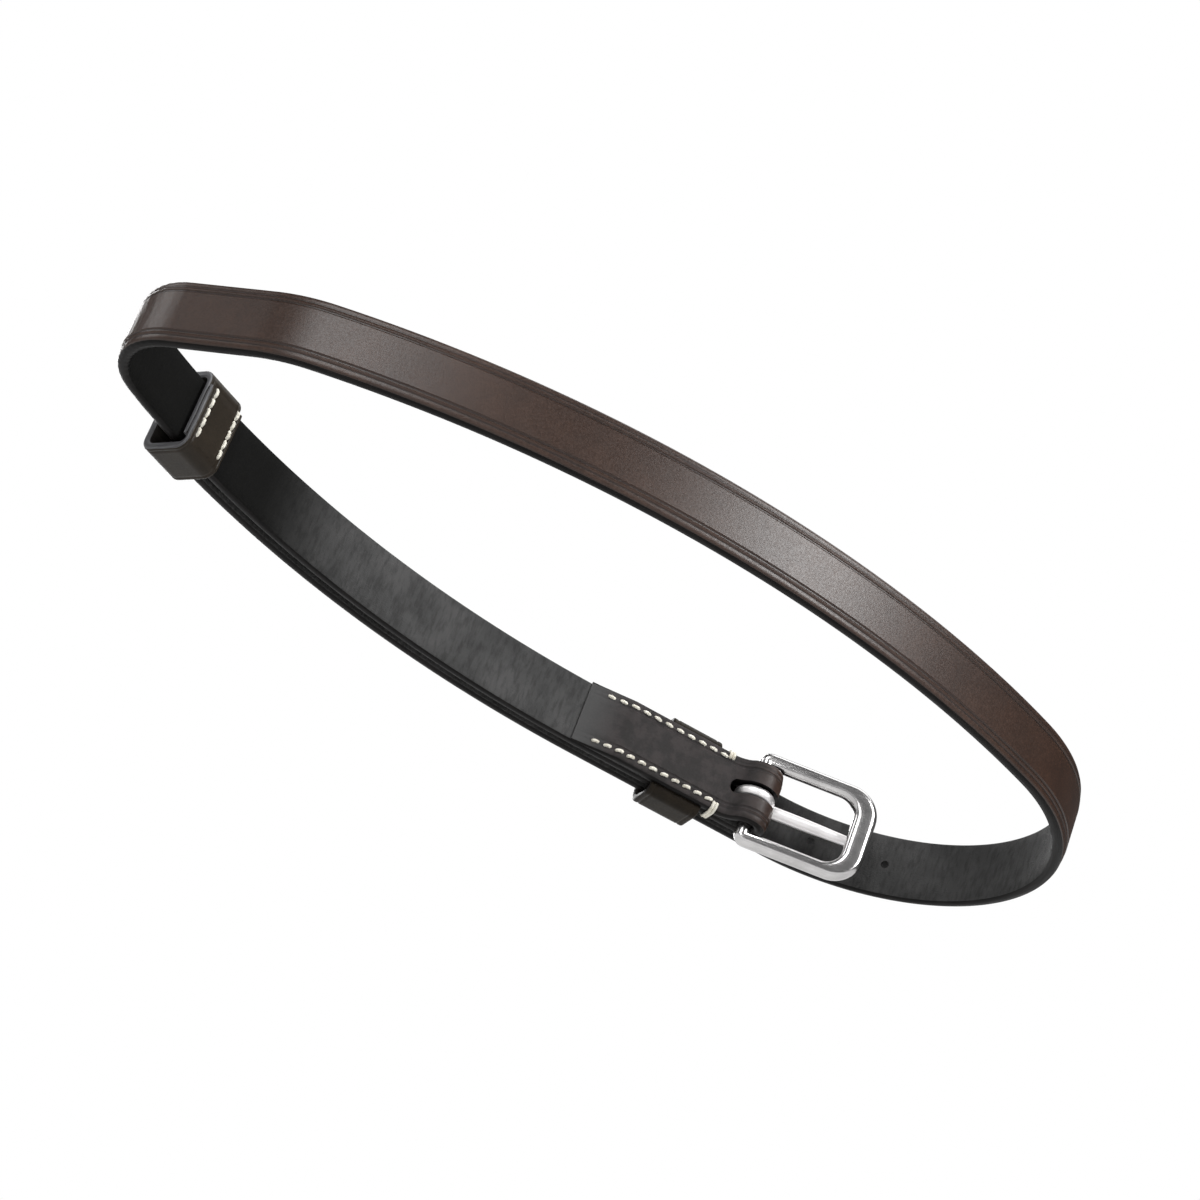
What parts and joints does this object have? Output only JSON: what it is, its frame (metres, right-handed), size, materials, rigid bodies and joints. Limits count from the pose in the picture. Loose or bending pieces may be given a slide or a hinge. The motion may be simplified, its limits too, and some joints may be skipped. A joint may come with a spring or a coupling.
{
  "type": "flash nose strap",
  "caption": "Narrow leather flash strap formed into its muzzle loop, with a heel-bar buckle, a prong, a fixed keeper and a sliding keeper on the tail.",
  "frame": {"origin": "middle of the strap's thickness and width, at the middle of the straight seat that a noseband's flash loop holds", "axes": "+X along the seat towards the chin bend and the buckle, +Y into the loop off the strap's flesh side, +Z along the strap's width; the loop lies in the XY plane"},
  "size_m": [0.1525, 0.1591, 0.0204],
  "materials": {
    "strap_leather": "dark brown bridle leather, satin grain side, matt flesh side, black edges",
    "keeper_leather": "very dark brown leather, satin",
    "buckle_steel": "satin stainless steel",
    "stitching_thread": "cream waxed linen thread"
  },
  "bodies": {
    "strap": {"strap": "strap_leather", "fixed_keeper": "keeper_leather", "chape_thread_upper": "stitching_thread", "chape_thread_lower": "stitching_thread"},
    "buckle": {"buckle_frame": "buckle_steel"},
    "prong": {"buckle_prong": "buckle_steel"},
    "sliding_keeper": {"sliding_keeper": "keeper_leather", "sliding_keeper_thread_chin_side": "stitching_thread", "sliding_keeper_thread_cheek_side": "stitching_thread"}
  },
  "joints": [
    {"name": "buckle_swing", "type": "hinge", "parent": "strap", "child": "buckle", "pos_m": [0.06126, 0.13736, 0], "axis": [0, 0, -1], "range_deg": [-4, 130]},
    {"name": "prong_swing", "type": "hinge", "parent": "buckle", "child": "prong", "pos_m": [0.06126, 0.13736, 0], "axis": [0, 0, 1], "range_deg": [0, 6]},
    {"name": "sliding_keeper_travel", "type": "hinge", "parent": "strap", "child": "sliding_keeper", "pos_m": [0.14577, -0.00923, 0], "axis": [0, 0, -1], "range_deg": [-4, 30]}
  ]
}
